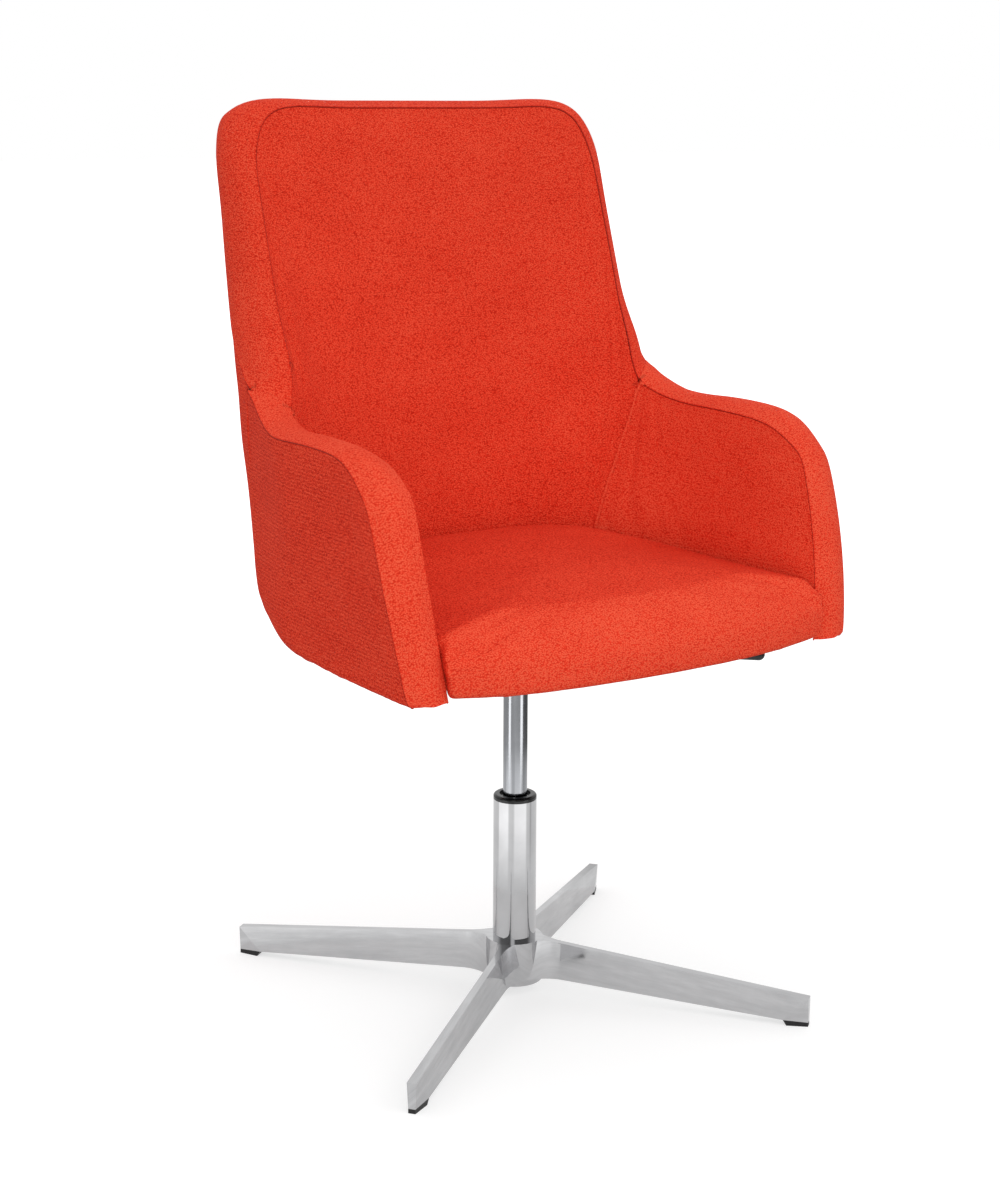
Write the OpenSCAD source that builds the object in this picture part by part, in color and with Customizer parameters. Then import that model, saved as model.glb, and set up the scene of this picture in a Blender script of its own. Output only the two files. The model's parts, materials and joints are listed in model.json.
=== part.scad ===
/* [Shell] */
// Width over the arms at their widest
arm_w = 602; // [560:2:660]
// Width over the shell at its lower edge
foot_w = 574; // [540:2:590]
// Height of the shell's lower edge above the floor, with the lift up
shell_z = 438; // [420:1:470]
// Height of the arm seam above the shell's lower edge
arm_h = 241; // [200:1:260]
// Height of the top seam above the shell's lower edge
back_h = 578; // [480:1:620]
// Distance from the column to the front of the arms
front_d = 235; // [215:1:250]
// Distance from the column to the rear of the lower edge
rear_d = 176; // [165:1:190]
// How far the top of the back lies behind its lower edge
recline = 81; // [60:1:100]
// Width of the upholstered arm at its front
arm_t = 51; // [44:1:58]
// Rounding of the rear lower edge
edge_r = 55; // [30:1:60]

// Rounding of the arms' lower edges at the front
edge_front = 6; // [3:1:12]

/* [Upholstery] */
// Foam and cloth over the outside
cover_t = 8; // [6:0.5:10]
// Moulded plywood of the shell
ply_t = 12; // [9:1:15]
// Rise of the border over its two seams on the arms
border_arm = 7; // [4:0.5:9]
// Rise of the border over its two seams on the back's sides
border_back = 14; // [10:0.5:20]
// Gap between neighbouring layers
layer_gap = 0.3; // [0.2:0.05:0.5]

/* [Seat] */
// Thickness of the seat board
board_t = 15; // [12:1:18]
// Height of the seat board's underside above the shell's lower edge
board_lift = 10; // [8:1:14]
// Height of the cushion at its side above the board
cushion_h = 48; // [40:1:60]
// Rise of the cushion's crown over its side
crown_h = 22; // [10:1:30]
// How far the cushion's front bows beyond the arms
front_bow = 34; // [20:1:40]
// How far the cushion's front hangs below the board's top
front_drop = 26; // [18:1:28]
// Rise of the cushion's rear edge over its sides
rear_lift = 17; // [0:1:24]
// Rounding of the cushion's sides
edge_soft = 18; // [10:1:24]
// Rounding of the cushion's front roll
front_soft = 34; // [24:1:40]

/* [Lift] */
// Outer diameter of the column tube
tube_d = 50; // [48:0.5:54]
// Wall of the column tube
tube_wall = 1.8; // [1.5:0.1:2.5]
// Height of the tube's upper end above the floor
tube_top = 234; // [220:1:250]
// Diameter of the gas cylinder
cylinder_d = 28; // [26:0.5:30]
// Diameter of the piston rod
rod_d = 10; // [8:0.5:12]
// Height travel of the lift
stroke = 100; // [60:5:110]
// Running clearance, radial
run_gap = 0.05; // [0.02:0.01:0.1]

/* [Mechanism] */
// Side of the square seat plate
plate_side = 200; // [180:2:220]
// Thickness of the seat plate
plate_t = 3; // [2.5:0.5:4]
// Depth of the pressed housing under the plate
housing_h = 42; // [36:1:48]
// Spacing of the four seat bolts
bolt_pitch = 160; // [140:2:170]
// Diameter of a seat bolt
bolt_d = 8; // [6:1:10]
// Distance from the column to the tip of the release lever
lever_reach = 282; // [200:1:300]
// Diameter of the release lever
lever_d = 8; // [6:0.5:10]

/* [Base] */
// Radius of the base over its feet
base_r = 350; // [320:1:380]
// Height of the hub's top above the floor
hub_top = 66; // [62:1:72]
// Height of a leg's top at its end
leg_end_h = 34; // [30:1:40]
// Half width of a leg at its top edge
leg_half = 5.5; // [5:0.5:8]
// Radius of the web between two legs
web_r = 52; // [44:1:60]
// Turn of the base against the seat
base_turn = -6.5; // [-45:0.5:45]
// Wall of the hollow legs
cast_wall = 3.5; // [3:0.5:4.5]

/* [Feet] */
// Thickness of a foot pad
pad_t = 5; // [4:0.5:8]
// Length of a foot pad
pad_l = 28; // [22:1:34]
// Diameter of the pad's stem
stem_d = 6; // [5:0.5:8]

/* [Hidden] */
$fn = 64;

cloth = "orangered";
polished = "lightgray";

function mix(a, b, t) = a + (b - a) * t;
function unit(v) = v / norm(v);
function last(list) = list[len(list) - 1];

// Points of a smooth curve through the given values, per_span steps between each two
function smooth_at(v, i, t) =
    let (n = len(v) - 1,
         a = v[max(i - 1, 0)], b = v[i], c = v[min(i + 1, n)], d = v[min(i + 2, n)])
    0.5 * (2 * b + (c - a) * t + (2 * a - 5 * b + 4 * c - d) * t * t
        + (3 * b - a - 3 * c + d) * t * t * t);
function smooth(v, per_span) = concat(
    [for (i = [0 : len(v) - 2], k = [0 : per_span - 1]) smooth_at(v, i, k / per_span)],
    [last(v)]);

// Two triangles of a four-cornered face, split the other way where other is true
function split(q, other) = other
    ? [[q[3], q[1], q[0]], [q[3], q[2], q[1]]]
    : [[q[2], q[1], q[0]], [q[3], q[2], q[0]]];

// Solid of a closed skin: rows of equal length, closed round each row, with a fan at both ends.
// From row fold on, the faces are split as if mirrored.
function centre_of(row) = [for (p = row) 1] * row / len(row);
module ringed(rows, fold = 1000) {
    n = len(rows[0]);
    m = len(rows);
    points = concat([for (row = rows, p = row) p], [centre_of(rows[0]), centre_of(last(rows))]);
    sides = [for (j = [0 : m - 2], i = [0 : n - 1])
        let (k = (i + 1) % n)
        each split([j * n + i, j * n + k, (j + 1) * n + k, (j + 1) * n + i], j >= fold)];
    low = [for (i = [0 : n - 1]) [i, (i + 1) % n, m * n]];
    high = [for (i = [0 : n - 1]) [(m - 1) * n + (i + 1) % n, (m - 1) * n + i, m * n + 1]];
    polyhedron(points, concat(sides, low, high), convexity = 6);
}

// Solid between two skins of the same grid; a grid is a list of columns.
// From column fold on, the faces are split as if mirrored.
module between(front, rear, fold = 1000) {
    n = len(front);
    m = len(front[0]);
    points = concat([for (c = front, p = c) p], [for (c = rear, p = c) p]);
    s = n * m;
    walls = [for (i = [0 : n - 2], j = [0 : m - 2])
        let (a = i * m + j, b = a + m)
        each concat(split([a, a + 1, b + 1, b], i >= fold),
            split([s + a, s + b, s + b + 1, s + a + 1], i < fold))];
    rims = [for (i = [0 : n - 2])
        let (a = i * m, b = a + m, c = a + m - 1, d = b + m - 1)
        each concat(split([a, b, s + b, s + a], i >= fold), split([d, c, s + c, s + d], i >= fold))];
    ends = [for (j = [0 : m - 2])
        let (a = (n - 1) * m + j)
        each concat(split([j, s + j, s + j + 1, j + 1], false), split([a, a + 1, s + a + 1, s + a], false))];
    polyhedron(points, concat(walls, rims, ends), convexity = 8);
}

// Stations of the right half, from the arm's front to the middle of the back.
// Each holds the outer lower edge, the outer seam, the inner lower edge and the inner seam.
// Heights run in arm heights up to the junction, and in back heights past it.
half_arm = arm_w / 2;
half_foot = foot_w / 2;
in_x = half_arm - arm_t;
top_y = rear_d + recline;
outer_low = [[half_foot, -front_d + 2], [half_foot, -190], [half_foot, -110], [half_foot - 1, -20],
    [half_foot - 3, 42], [half_foot - 9, 88], [half_foot * 0.92, rear_d - 57],
    [half_foot * 0.791, rear_d - 32], [half_foot * 0.648, rear_d - 18], [half_foot * 0.491, rear_d - 9],
    [half_foot * 0.331, rear_d - 4], [half_foot * 0.164, rear_d - 1], [0, rear_d]];
outer_seam = [[half_arm, -front_d + 54, arm_h * 0.8], [half_arm - 2, -130, arm_h * 0.97],
    [half_arm - 2, -50, arm_h - 1], [half_arm - 5, 20, arm_h - 3], [half_arm - 16, 68, arm_h + 6],
    [half_arm - 30, top_y - 125, arm_h + 30], [half_arm - 38, top_y - 83, arm_h + 74],
    [half_arm - 48, top_y - 50, back_h * 0.676], [half_arm - 52, top_y - 33, back_h * 0.8],
    [half_arm - 55, top_y - 18, back_h * 0.923], [half_arm - 82, top_y - 7, back_h * 0.991],
    [half_arm * 0.37, top_y - 2, back_h], [0, top_y, back_h]];
inner_low = [[half_foot - 50, -front_d], [half_foot - 50, -190], [half_foot - 55, -110],
    [half_foot - 67, -20], [half_foot - 83, 40], [half_foot * 0.631, rear_d - 98],
    [half_foot * 0.554, rear_d - 88], [half_foot * 0.449, rear_d - 78], [half_foot * 0.345, rear_d - 71],
    [half_foot * 0.24, rear_d - 66], [half_foot * 0.153, rear_d - 63], [half_foot * 0.073, rear_d - 62],
    [0, rear_d - 61]];
inner_seam = [[in_x, -front_d + 43, arm_h * 0.83], [in_x - 3, -140, arm_h * 0.946],
    [in_x - 4, -60, arm_h * 0.975], [in_x - 5, 15, arm_h * 0.98], [in_x - 10, 65, arm_h + 3],
    [in_x - 15, top_y - 167, arm_h + 13], [in_x - 22, top_y - 155, arm_h + 46],
    [in_x - 20, top_y - 131, back_h * 0.633], [in_x - 21, top_y - 99, back_h * 0.8],
    [in_x - 26, top_y - 77, back_h * 0.918], [in_x - 58, top_y - 65, back_h - 5],
    [in_x * 0.408, top_y - 59, back_h - 4], [0, top_y - 57, back_h - 4]];
rounding = [edge_front, edge_front, edge_front + 1, edge_front + 6, edge_r * 0.46, edge_r * 0.85, edge_r,
    edge_r, edge_r, edge_r, edge_r * 0.97, edge_r * 0.87, edge_r * 0.82];
rise = [border_arm, border_arm, border_arm, border_arm - 1, border_arm - 3, border_arm - 3,
    border_back - 2, border_back - 3, border_back - 3, border_back - 3,
    border_arm, border_arm - 4, border_arm - 4];
// Station where the arm meets the back
join = 5;
steps = 3;

low_out = smooth(outer_low, steps);
seam_out = smooth(outer_seam, steps);
low_in = smooth(inner_low, steps);
seam_in = smooth(inner_seam, steps);
round_at = smooth(rounding, steps);
rise_at = smooth(rise, steps);
columns = len(low_out) - 1;
join_column = join * steps;

// Bow of the arm's front edge, which fades towards the rear
function bow(i, t) = let (f = max(1 - i / (2 * steps), 0) * 4 * t * (1 - t)) [4 * f, -6 * f];

// A point of the outer skin at share t of its column
function skin_out(i, t) =
    let (p = mix(low_out[i], [seam_out[i].x, seam_out[i].y], t) + bow(i, t))
    [p.x, p.y, t * seam_out[i].z];
// A point of the inner skin at the height of share t of its own column
function skin_in(i, t) =
    let (p = mix(low_in[i], [seam_in[i].x, seam_in[i].y], t) + bow(i, t))
    [p.x, p.y, t * seam_in[i].z];
// Level direction from the outer skin to the inner one
function inward(i, t) =
    let (v = skin_in(i, t) - skin_out(i, t)) unit([v.x, v.y, 0]);
// A point at the given depth under the outer skin
function under(i, t, depth) =
    let (d = skin_in(i, t) - skin_out(i, t)) skin_out(i, t) + d * depth / norm([d.x, d.y]);

edge_steps = 3;
// One column of an outer layer: the rounded lower edge, then the wall up to the seam
function outer_column(i, depth, rows, top) =
    let (r = round_at[i], m = max(r, depth), q = max(r - depth, 0), h = seam_out[i].z)
    concat(
        [for (k = [0 : edge_steps - 1])
            let (a = 90 * k / edge_steps, z = m - q * cos(a))
            placed(under(i, z / h, m - q * sin(a)), z)],
        [for (k = [0 : rows]) under(i, mix(m / h, top, k / rows), depth)]);
function placed(p, z) = [p.x, p.y, z];
function mirrored_x(p) = [-p.x, p.y, p.z];
function lifted(p) = [p.x, p.y, p.z + shell_z];
function lifted_grid(g) = [for (c = g) [for (p = c) lifted(p)]];
// Columns from a to b, which go on mirrored past the middle of the back
function folded(i) = i > columns ? 2 * columns - i : i;
function side_of(i, p) = i > columns ? mirrored_x(p) : p;

outer_rows = 9;
// A layer of the outside between two depths, over the columns a to b
module outer_layer(a, b, depth, thickness, rows, top = 1) {
    near = [for (i = [a : b]) [for (p = outer_column(folded(i), depth, rows, top)) side_of(i, p)]];
    far = [for (i = [a : b])
        [for (p = outer_column(folded(i), depth + thickness, rows, top)) side_of(i, p)]];
    between(lifted_grid(far), lifted_grid(near), columns - a);
}

// Inset at one height that clears the face at the given depth, with its rounded lower edge in steps
function rounded_inset(i, z, depth) =
    let (r = round_at[i], m = max(r, depth), q = max(r - depth, 0) * cos(45 / edge_steps))
    z >= m ? depth : m - sqrt(max(q * q - (m - z) * (m - z), 0));

// The padded inside, from the plywood's face to the inner skin
pad_low = board_lift + board_t + layer_gap;
ply_face = cover_t + ply_t + 2 * layer_gap;
function inner_column(i, rows) =
    [for (k = [0 : rows]) skin_in(i, mix(pad_low / seam_in[i].z, 1, k / rows))];
function pad_rear_column(i, rows) =
    let (h = seam_out[i].z, t0 = pad_low / h)
    concat([placed(under(i, t0, rounded_inset(i, pad_low, ply_face)), pad_low)],
        [for (k = [1 : rows])
            let (t = mix(t0, 1, k / rows)) under(i, t, rounded_inset(i, t * h, ply_face))]);
module inner_pad(a, b, rows = 9) {
    near = [for (i = [a : b]) [for (p = inner_column(folded(i), rows)) side_of(i, p)]];
    far = [for (i = [a : b]) [for (p = pad_rear_column(folded(i), rows)) side_of(i, p)]];
    between(lifted_grid(near), lifted_grid(far), columns - a);
}

// The border's path: round the arm's lower corner, up its front edge, then along the seams
front_rows = 8;
corner_share = edge_front / seam_out[0].z;
front_share = [for (k = [0 : front_rows - 1])
    k < 3 ? corner_share * (1 - cos(45 * k)) : mix(corner_share, 1, (k - 2) / (front_rows - 2))];
path_out = concat(
    [for (t = front_share) let (z = t * seam_out[0].z) placed(under(0, t, corner_inset(z)), z)], seam_out);
path_in = concat([for (t = front_share) skin_in(0, t)], seam_in);
function corner_inset(z) = z >= edge_front ? 0
    : edge_front - sqrt(edge_front * edge_front - (edge_front - z) * (edge_front - z));
path_rise = concat([for (k = [0 : front_rows - 1]) rise_at[0]], rise_at);
path_end = len(path_out) - 1;
function path_fold(i) = i > path_end ? 2 * path_end - i : i;
function path_tangent(i) =
    i == path_end ? [-1, 0, 0] : unit(path_out[i + 1] + path_in[i + 1]
        - path_out[max(i - 1, 0)] - path_in[max(i - 1, 0)]);
function path_up(i) = unit(cross(path_out[i] - path_in[i], path_tangent(i)));
roll_sides = 6;
sole_gap = 2.5 * layer_gap;
// One section of the border: a flat sole on the layers' edges and a domed face
function roll_section(i) =
    let (up = path_up(i), a = path_out[i] + up * sole_gap, b = path_in[i] + up * sole_gap)
    concat([for (k = [0 : roll_sides])
        let (t = k / roll_sides) mix(b, a, t) + up * (1 + path_rise[i] * pow(sin(180 * t), 0.7))],
        [a, b]);
module border(a, b) {
    ringed([for (i = [a : b])
        [for (p = roll_section(path_fold(i))) lifted(i > path_end ? mirrored_x(p) : p)]], path_end - a);
}

module outside_back() { color(cloth)
    outer_layer(join_column, 2 * columns - join_column, 0, cover_t, outer_rows); }
module outside_arm_right() { color(cloth) outer_layer(0, join_column, 0, cover_t, outer_rows); }
module outside_arm_left() { color(cloth) mirror([1, 0, 0]) outside_arm_right(); }

// The moulded plywood wraps round the sitter in one piece
module shell_ply() { color("burlywood")
    outer_layer(0, 2 * columns, cover_t + layer_gap, ply_t, 6, 0.97); }

module inside_back() { color(cloth) inner_pad(join_column, 2 * columns - join_column); }
module inside_arm_right() { color(cloth) inner_pad(0, join_column); }
module inside_arm_left() { color(cloth) mirror([1, 0, 0]) inside_arm_right(); }

module border_arm_right() { color(cloth) border(0, front_rows + join_column); }
module border_arm_left() { color(cloth) mirror([1, 0, 0]) border_arm_right(); }
module border_back_roll() { color(cloth)
    border(front_rows + join_column, 2 * path_end - front_rows - join_column); }

// Outline of the seat's deck inside the plywood, closed across the front
function deck_outline(front) =
    let (half = [for (i = [0 : columns])
             let (p = under(i, board_lift / seam_out[i].z, max(round_at[i], ply_face) + layer_gap))
             if (p.y > front + 1) [p.x, p.y]],
         closed = concat([[half[0].x, front]], half), n = len(closed))
    concat(closed, [for (i = [n - 2 : -1 : 0]) [-closed[i].x, closed[i].y]]);

deck_front = -front_d + 14;
module seat_board() {
    color("burlywood") difference() {
        translate([0, 0, shell_z + board_lift])
            linear_extrude(board_t)
                polygon(deck_outline(deck_front));
        for (x = [-1, 1], y = [-1, 1])
            translate([x * bolt_pitch / 2, y * bolt_pitch / 2, shell_z + board_lift - 1])
                cylinder(d = bolt_d + 2 * run_gap, h = board_t + 2);
    }
}

dust_t = 1.2;
module dust_cover() {
    color("black") difference() {
        translate([0, 0, shell_z + board_lift - dust_t - layer_gap])
            linear_extrude(dust_t)
                polygon(deck_outline(deck_front));
        cube_side = plate_side + 4;
        translate([-cube_side / 2, -cube_side / 2, shell_z]) cube([cube_side, cube_side, 2 * board_lift]);
    }
}

// The cushion follows the inner skin with a small gap, has a crown and a soft front roll
// How far its front corners reach past the arms' inner edges, and how much higher their lower edge is
ear_w = 6;
lip_lift = 5;
crown_y = -60;
// Half sizes of the oval that the crown's rings turn into towards the middle
crown_oval = [215, 165];
cushion_low = board_lift + board_t + layer_gap;
cushion_top = cushion_low + cushion_h;
cushion_gap = 0.8;
side_columns = [for (i = [0 : 2 : columns - 1]) i];
front_points = 9;
front_face = -front_d - border_arm - 3;
function rear_rise(y, z) =
    rear_lift * max((y + 50) / (rear_d - 20), 0) * (z - cushion_low) / cushion_h;
function cushion_side(i, z, inset) =
    let (p = skin_in(i, z / seam_in[i].z), d = inward(i, z / seam_in[i].z), n = cushion_gap + inset)
    [p.x + d.x * n, max(p.y + d.y * n, deck_front - 1), z + rear_rise(p.y, z)];
// One ring: both sides from the front to the middle of the rear, then across the front,
// where a corner on each side keeps clear of the border on the arm's front edge
function cushion_ring(z, inset, front_z, front_in) =
    let (right = [for (i = side_columns) cushion_side(i, z, inset)],
         middle = cushion_side(columns, z, inset),
         p = skin_in(0, front_z / seam_in[0].z),
         end_y = min(front_face + front_in, deck_front - 4),
         half = p.x - cushion_gap - inset + (end_y < p.y - border_arm - 1 ? ear_w : 0),
         corner = [p.x - 2 * cushion_gap - inset, max(p.y - 1.5, end_y + cushion_gap), front_z])
    concat(right, [[0, middle.y, middle.z]],
        [for (k = [len(right) - 1 : -1 : 0]) mirrored_x(right[k])],
        [mirrored_x(corner)],
        [for (k = [0 : front_points])
            let (u = -1 + 2 * k / front_points)
            [u * half, min(front_face + front_in - (front_bow - border_arm - 3) * (1 - u * u), end_y),
                front_z + (front_z < cushion_low ? lip_lift * pow(u, 6) : 0)]],
        [corner]);
module seat_cushion() {
    lip = cushion_low - front_drop;
    under_rings = [
        cushion_ring(cushion_low, 6, cushion_low, 100),
        cushion_ring(cushion_low + 0.4, 3, lip + 3, 100),
        cushion_ring(cushion_low + 1, 1.5, lip, 8),
        cushion_ring(cushion_low + 3, 0.6, lip + 3, 2),
        cushion_ring(cushion_low + 8, 0, lip + 12, 0)];
    side_rings = [for (k = [1 : 2])
        let (z = mix(cushion_low + 8, cushion_top - edge_soft, k / 2))
        cushion_ring(z, 0, mix(lip + 12, cushion_top - front_soft, k / 2), 0)];
    shoulder = [for (a = [30, 60, 90])
        cushion_ring(cushion_top - edge_soft * (1 - sin(a)), edge_soft * (1 - cos(a)),
            cushion_top - front_soft * (1 - sin(a)), front_soft * (1 - cos(a)))];
    rim = last(shoulder);
    crown = [for (k = [1 : 5]) let (f = k / 6)
        [for (p = rim)
            let (v = [p.x, p.y - crown_y], a = atan2(v.y / crown_oval.y, v.x / crown_oval.x),
                 oval = [crown_oval.x * cos(a), crown_oval.y * sin(a)], q = mix(v, oval, f) * (1 - f))
            [q.x, q.y + crown_y, mix(p.z, cushion_top, f) + crown_h * sin(90 * f)]]];
    color(cloth) ringed([for (ring = concat(under_rings, side_rings, shoulder, crown))
        [for (p = ring) lifted(p)]]);
}

// Column: fixed tube with its bottom plate, guide bush, rod bearing and clip
column_low = 12;
end_plate_t = 3;
tube_r = tube_d / 2;
bore_r = tube_r - tube_wall;
cylinder_r = cylinder_d / 2;
rod_r = rod_d / 2;
module column_tube() {
    color(polished) difference() {
        translate([0, 0, column_low]) cylinder(r = tube_r, h = tube_top - column_low);
        translate([0, 0, column_low + end_plate_t]) cylinder(r = bore_r, h = tube_top);
        translate([0, 0, column_low - 1]) cylinder(r = rod_r + run_gap, h = end_plate_t + 2);
    }
}

bush_l = 70;
collar_h = 6;
module guide_bush() {
    color("black") rotate_extrude() difference() {
        union() {
            translate([cylinder_r + run_gap, tube_top - bush_l])
                square([bore_r - cylinder_r - run_gap, bush_l]);
            translate([cylinder_r + run_gap, tube_top])
                square([tube_r - cylinder_r - run_gap, collar_h - 3]);
            intersection() {
                translate([tube_r - 3, tube_top + collar_h - 3]) circle(r = 3);
                translate([0, tube_top]) square([2 * tube_r, 2 * collar_h]);
            }
            translate([cylinder_r + 4, tube_top]) square([tube_r - cylinder_r - 7, collar_h]);
        }
        translate([0, tube_top - bush_l + 20]) square([cylinder_r + 1, bush_l - 40]);
    }
}

stack_z = column_low + end_plate_t;
rod_end_r = rod_r - 1;
washer_t = 2;
ball_d = 4;
ball_ring_r = 10;
ball_count = 10;
module washer(z) {
    translate([0, 0, z]) difference() {
        cylinder(r = ball_ring_r + 4, h = washer_t);
        translate([0, 0, -1]) cylinder(r = rod_end_r + run_gap, h = washer_t + 2);
    }
}
module bearing_lower() { color("silver") washer(stack_z); }
module bearing_balls() {
    mid = stack_z + washer_t + ball_d / 2;
    color("darkgray") {
        for (k = [0 : ball_count - 1]) rotate(360 * k / ball_count)
            translate([ball_ring_r, 0, mid]) sphere(d = ball_d, $fn = 24);
        difference() {
            translate([0, 0, mid - 0.75]) cylinder(r = ball_ring_r + 3, h = 1.5);
            translate([0, 0, mid - 2]) cylinder(r = ball_ring_r - 3, h = 4);
        }
    }
}
upper_z = stack_z + washer_t + ball_d + run_gap;
module bearing_upper() { color("silver") washer(upper_z); }

shoulder_z = upper_z + washer_t;
bump_h = 8;
module bump_ring() {
    color("dimgray") translate([0, 0, shoulder_z]) difference() {
        cylinder(r = ball_ring_r + 3, h = bump_h);
        translate([0, 0, -1]) cylinder(r = rod_r, h = bump_h + 2);
    }
}

clip_t = 1.2;
clip_groove = 1;
module rod_clip() {
    color("dimgray") translate([0, 0, column_low - run_gap - clip_t]) difference() {
        cylinder(r = rod_end_r + 3, h = clip_t);
        translate([0, 0, -1]) cylinder(r = rod_end_r - clip_groove, h = clip_t + 2);
        translate([0, -1.5, -1]) cube([rod_r + 4, 3, clip_t + 2]);
    }
}

// Rod and piston: the rod's shoulder stands on the bearing, its end is held by the clip
cylinder_low = shoulder_z + bump_h + stroke + 4;
guide_h = 22;
piston_h = 14;
rod_low = column_low - clip_t - 3;
piston_z = cylinder_low + guide_h + 4;
cylinder_bore = cylinder_r - 1.5;
module piston_rod() {
    color("silver") difference() {
        union() {
            translate([0, 0, rod_low]) cylinder(r = rod_end_r, h = shoulder_z - rod_low);
            translate([0, 0, shoulder_z]) cylinder(r = rod_r, h = piston_z - shoulder_z);
        }
        translate([0, 0, column_low - run_gap - clip_t]) difference() {
            cylinder(r = rod_r + 1, h = clip_t);
            translate([0, 0, -1]) cylinder(r = rod_end_r - clip_groove, h = clip_t + 2);
        }
    }
}
module piston() {
    color("dimgray") translate([0, 0, piston_z]) difference() {
        cylinder(r = cylinder_bore - run_gap, h = piston_h);
        translate([0, 0, piston_h / 2 - 1.5]) difference() {
            cylinder(r = cylinder_bore + 1, h = 3);
            translate([0, 0, -1]) cylinder(r = cylinder_bore - 2, h = 5);
        }
    }
}

// Gas cylinder, whose tapered end sits in the seat plate's socket
plate_z = shell_z + board_lift - plate_t;
floor_z = plate_z - housing_h;
socket_wall = 4;
socket_drop = 6;
socket_low = floor_z - socket_drop;
socket_h = 30;
cylinder_top = socket_low + socket_h;
taper_in = socket_h * tan(1.437);
pin_r = 4;
pin_tip_r = 2;
pin_travel = 3;
pin_neck = cylinder_top + 2;
pin_top = cylinder_top + 5;
valve_h = 34;
valve_z = cylinder_top - valve_h;
module gas_cylinder() {
    color("silver") difference() {
        union() {
            translate([0, 0, cylinder_low]) cylinder(r = cylinder_r, h = socket_low - cylinder_low);
            translate([0, 0, socket_low])
                cylinder(r1 = cylinder_r, r2 = cylinder_r - taper_in, h = socket_h);
        }
        translate([0, 0, cylinder_low - 1])
            cylinder(r = cylinder_bore, h = valve_z - 5 - cylinder_low + 1);
        translate([0, 0, valve_z]) cylinder(r = pin_r + run_gap, h = valve_h + 1);
    }
}
module rod_guide() {
    color("dimgray") translate([0, 0, cylinder_low]) difference() {
        cylinder(r = cylinder_bore, h = guide_h);
        translate([0, 0, -1]) cylinder(r = rod_r + run_gap, h = guide_h + 2);
    }
}
module release_pin() {
    color("crimson") {
        translate([0, 0, valve_z + pin_travel]) cylinder(r = pin_r, h = pin_neck - valve_z - pin_travel);
        translate([0, 0, pin_neck]) cylinder(r = pin_tip_r, h = pin_top - pin_neck);
    }
}

// Release lever: a bent rod that rocks on the bracket's pin and presses the release pin
lever_turn = -37;
lever_r = lever_d / 2;
lever_z = pin_top + 0.1 + lever_r;
pivot_u = 40;
pivot_r = 2.5;
boss_w = 10;
// A bent rod is a little thicker at its bends
bend_swell = 0.3;
bend_1 = [70, 0, lever_z];
bend_2 = [112, 0, lever_z - 21];
grip_l = 86;
// Thickness of the grip's closed end
rod_end_gap = 6;
grip_r = lever_r + 3;
lever_tip = [lever_reach, 0, lever_z - 26];
grip_start = lever_tip - unit(lever_tip - bend_2) * grip_l;
module along(a, b) {
    d = b - a;
    translate(a) rotate([0, acos(d.z / norm(d)), atan2(d.y, d.x)]) children();
}
module rod_between(a, b, r) { along(a, b) cylinder(r = r, h = norm(b - a)); }
module release_lever() {
    color("dimgray") rotate(lever_turn) difference() {
        union() {
            rod_between([-6, 0, lever_z], bend_1, lever_r);
            rod_between(bend_1, bend_2, lever_r);
            rod_between(bend_2, lever_tip - unit(lever_tip - bend_2) * rod_end_gap, lever_r);
            for (p = [bend_1, bend_2]) translate(p) sphere(r = lever_r + bend_swell);
            translate([pivot_u, boss_w / 2, lever_z]) rotate([90, 0, 0]) cylinder(r = 6, h = boss_w);
        }
        translate([pivot_u, boss_w, lever_z]) rotate([90, 0, 0])
            cylinder(r = pivot_r + run_gap, h = 2 * boss_w);
    }
}
module lever_grip() {
    color("black") rotate(lever_turn) along(grip_start, lever_tip) rotate_extrude() difference() {
        union() {
            square([grip_r, grip_l - grip_r]);
            intersection() {
                translate([0, grip_l - grip_r]) circle(r = grip_r);
                translate([0, grip_l - grip_r - 1]) square(grip_r + 1);
            }
        }
        translate([-1, -1]) square([lever_r + 1, grip_l - rod_end_gap + 1]);
    }
}
ear_t = 3;
bracket_w = 14;
ear_gap = 0.4;
module lever_bracket() {
    inner = boss_w / 2 + ear_gap;
    base = floor_z + plate_t;
    color("silver") rotate(lever_turn) {
        for (side = [-1, 1]) translate([pivot_u, side * (inner + ear_t / 2), 0]) {
            translate([-bracket_w / 2, -ear_t / 2, base]) cube([bracket_w, ear_t, lever_z - base]);
            translate([0, ear_t / 2, lever_z]) rotate([90, 0, 0]) cylinder(r = bracket_w / 2 - 2, h = ear_t);
        }
        translate([pivot_u, inner + ear_t, lever_z]) rotate([90, 0, 0])
            cylinder(r = pivot_r, h = 2 * (inner + ear_t));
    }
}

// Seat plate: a flange with a pressed housing, and the tapered socket in its floor
housing_side = 110;
slot_w = lever_d + 6;
module seat_plate() {
    inner = housing_side - 2 * plate_t;
    color("dimgray") difference() {
        union() {
            translate([-plate_side / 2, -plate_side / 2, plate_z]) cube([plate_side, plate_side, plate_t]);
            translate([-housing_side / 2, -housing_side / 2, floor_z])
                cube([housing_side, housing_side, housing_h]);
        }
        translate([-inner / 2, -inner / 2, floor_z + plate_t]) cube([inner, inner, housing_h]);
        translate([0, 0, floor_z - 1]) cylinder(r = cylinder_r + socket_wall, h = plate_t + 2);
        for (x = [-1, 1], y = [-1, 1])
            translate([x * bolt_pitch / 2, y * bolt_pitch / 2, plate_z - 1])
                cylinder(d = bolt_d + 2 * run_gap, h = plate_t + 2);
        rotate(lever_turn) translate([inner / 2, -slot_w / 2, lever_z - lever_r - 2])
            cube([plate_side, slot_w, lever_d + 5]);
    }
}
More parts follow.
